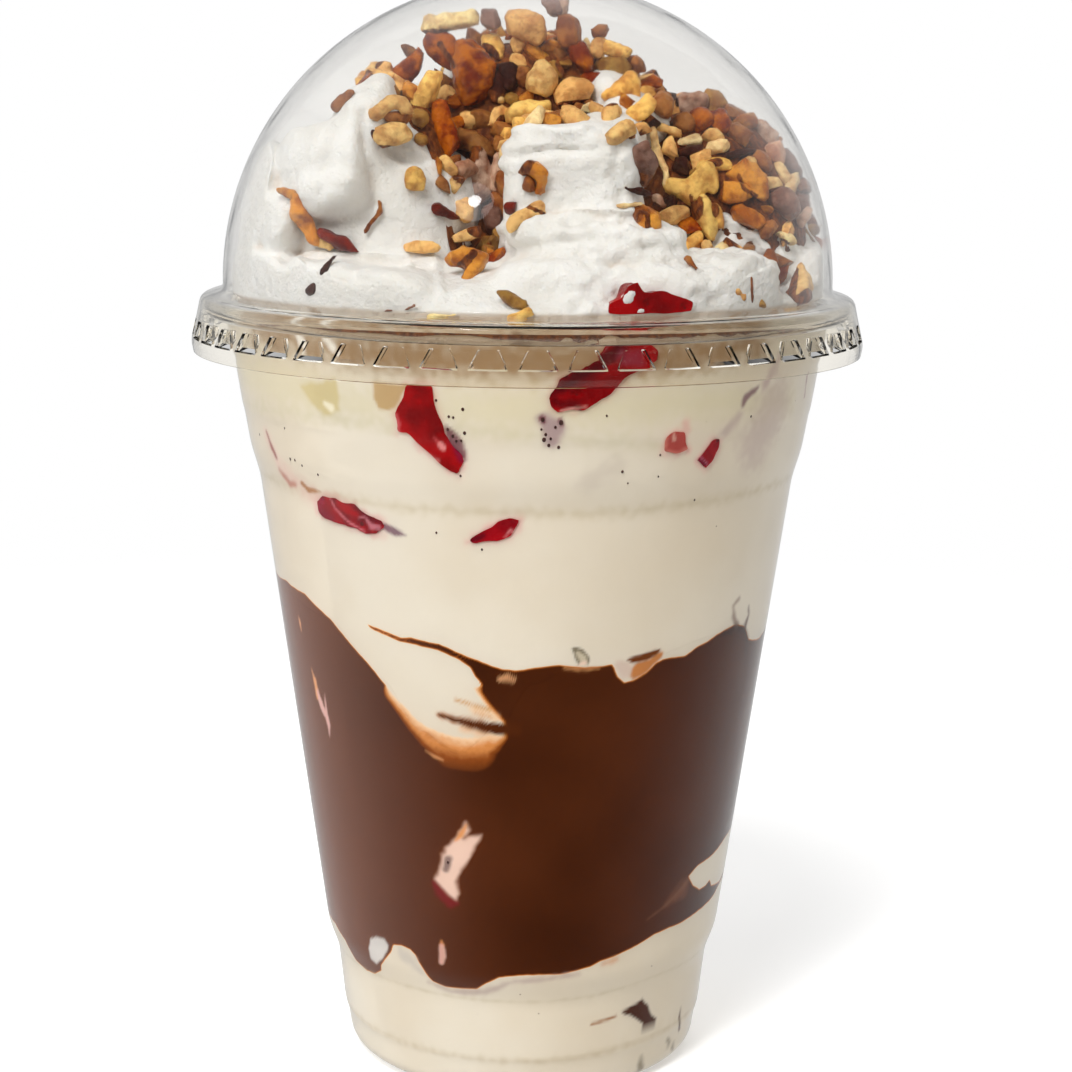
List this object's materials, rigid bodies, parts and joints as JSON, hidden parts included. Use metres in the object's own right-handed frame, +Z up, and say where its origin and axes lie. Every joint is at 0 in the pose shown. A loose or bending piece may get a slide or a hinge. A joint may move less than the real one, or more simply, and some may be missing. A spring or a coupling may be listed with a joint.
{
  "type": "strawberries and cream dessert cup",
  "caption": "Layered strawberries and cream dessert with chocolate, whipped cream and chopped nuts in a clear tapered cup under a clear dome lid.",
  "frame": {"origin": "middle of the base, on the surface that the cup stands on", "axes": "+Z up through the cup and the dome, -Y towards the viewer, +X to the viewer's right"},
  "size_m": [0.102, 0.102, 0.1658],
  "materials": {
    "clear_plastic": "clear, smooth and glossy",
    "cream": "ivory cream pressed smooth against the cup",
    "chocolate": "soft chocolate pressed smooth against the cup",
    "strawberry": "wet cut fruit",
    "whipped_cream": "white, soft and slightly rough",
    "nut": "chopped nut with patches of brown skin"
  },
  "bodies": {
    "root": {"cup": "clear_plastic", "dome_lid": "clear_plastic", "cream_lower": "cream", "chocolate": "chocolate", "cream_upper": "cream", "strawberry_left": "strawberry", "strawberry_middle": "strawberry", "strawberry_low_left": "strawberry", "strawberry_low_middle": "strawberry", "strawberry_right": "strawberry", "strawberry_pale": "strawberry", "strawberry_top": "strawberry", "whipped_cream": "whipped_cream", "chopped_nuts": "nut"}
  },
  "joints": []
}
